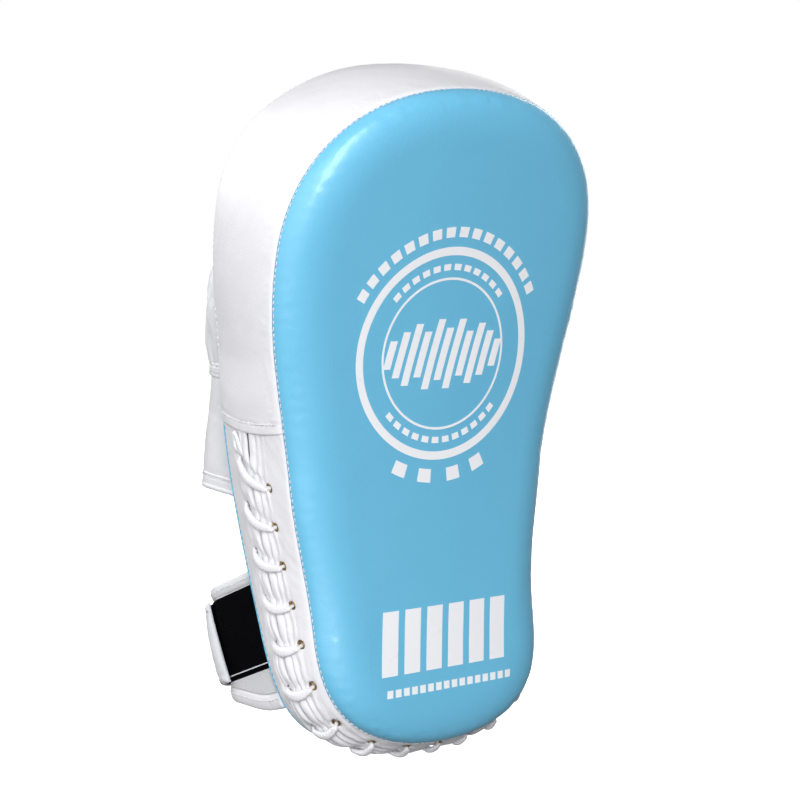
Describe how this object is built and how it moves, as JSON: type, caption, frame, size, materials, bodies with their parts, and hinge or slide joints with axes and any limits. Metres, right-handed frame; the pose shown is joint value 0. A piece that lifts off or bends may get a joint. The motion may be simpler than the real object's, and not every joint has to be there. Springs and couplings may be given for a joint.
{
  "type": "focus mitt",
  "caption": "Curved boxing focus mitt with a laced padded striking pad, finger hood, palm cushion and a hook-and-loop wrist cuff.",
  "frame": {"origin": "on the outside of the back panel at the pad's centre line, under the middle of the wearer's palm", "axes": "+Z to the top of the pad along its length, +Y out of the back panel towards the hand, so the striking face looks along -Y, +X to the side on which the closing strap is sewn"},
  "size_m": [0.2214, 0.1699, 0.3964],
  "materials": {
    "face_leather": "gloss",
    "back_leather": "satin",
    "white_leather": "satin",
    "lining_fabric": "matte",
    "foam": "matte",
    "eyelet_brass": "satin",
    "lace_cord": "matte",
    "loop_tape": "matte",
    "hook_tape": "matte",
    "webbing": "matte"
  },
  "bodies": {
    "pad": {"face_panel": "face_leather", "back_panel": "back_leather", "upper_gusset": "white_leather", "gusset_hem": "white_leather", "front_lacing_band": "white_leather", "rear_lacing_band": "white_leather", "front_lacing_hem": "white_leather", "rear_lacing_hem": "white_leather", "lacing_tongue": "lining_fabric", "impact_foam": "foam", "core_foam": "foam", "back_board": "foam", "front_eyelets": "eyelet_brass", "rear_eyelets": "eyelet_brass", "lace": "lace_cord", "hood_upper_panel": "white_leather", "hood_lower_panel": "white_leather", "hood_band": "white_leather", "hood_hem": "white_leather", "hood_padding": "foam", "hood_cap_padding": "foam", "hood_lining": "lining_fabric", "palm_cushion": "white_leather", "wrist_pad": "lining_fabric"},
    "left_wing": {"left_cuff_shell": "white_leather", "left_cuff_padding": "foam", "left_cuff_lining": "lining_fabric", "left_cuff_top_binding": "white_leather", "left_cuff_bottom_hem": "white_leather", "loop_patch": "loop_tape", "webbing_strip": "webbing"},
    "right_wing": {"right_cuff_shell": "white_leather", "right_cuff_padding": "foam", "right_cuff_lining": "lining_fabric", "right_cuff_top_binding": "white_leather", "right_cuff_bottom_hem": "white_leather", "strap_anchor": "webbing"},
    "strap": {"closing_strap": "webbing", "hook_patch": "hook_tape"}
  },
  "joints": [
    {"name": "left_wing_splay", "type": "hinge", "parent": "pad", "child": "left_wing", "pos_m": [-0.08, -0.02921, -0.11921], "axis": [0, 0.4226, 0.9063], "range_deg": [0, 18]},
    {"name": "right_wing_splay", "type": "hinge", "parent": "pad", "child": "right_wing", "pos_m": [0.08, -0.02921, -0.11921], "axis": [0, -0.4226, -0.9063], "range_deg": [0, 18]},
    {"name": "strap_peel", "type": "hinge", "parent": "right_wing", "child": "strap", "pos_m": [0.046, 0.03957, -0.15129], "axis": [0, -0.4226, -0.9063], "range_deg": [0, 120]}
  ],
  "couplings": [
    {"joint": "left_wing_splay", "follows": "strap_peel", "ratio": 0.15},
    {"joint": "right_wing_splay", "follows": "strap_peel", "ratio": 0.15}
  ]
}
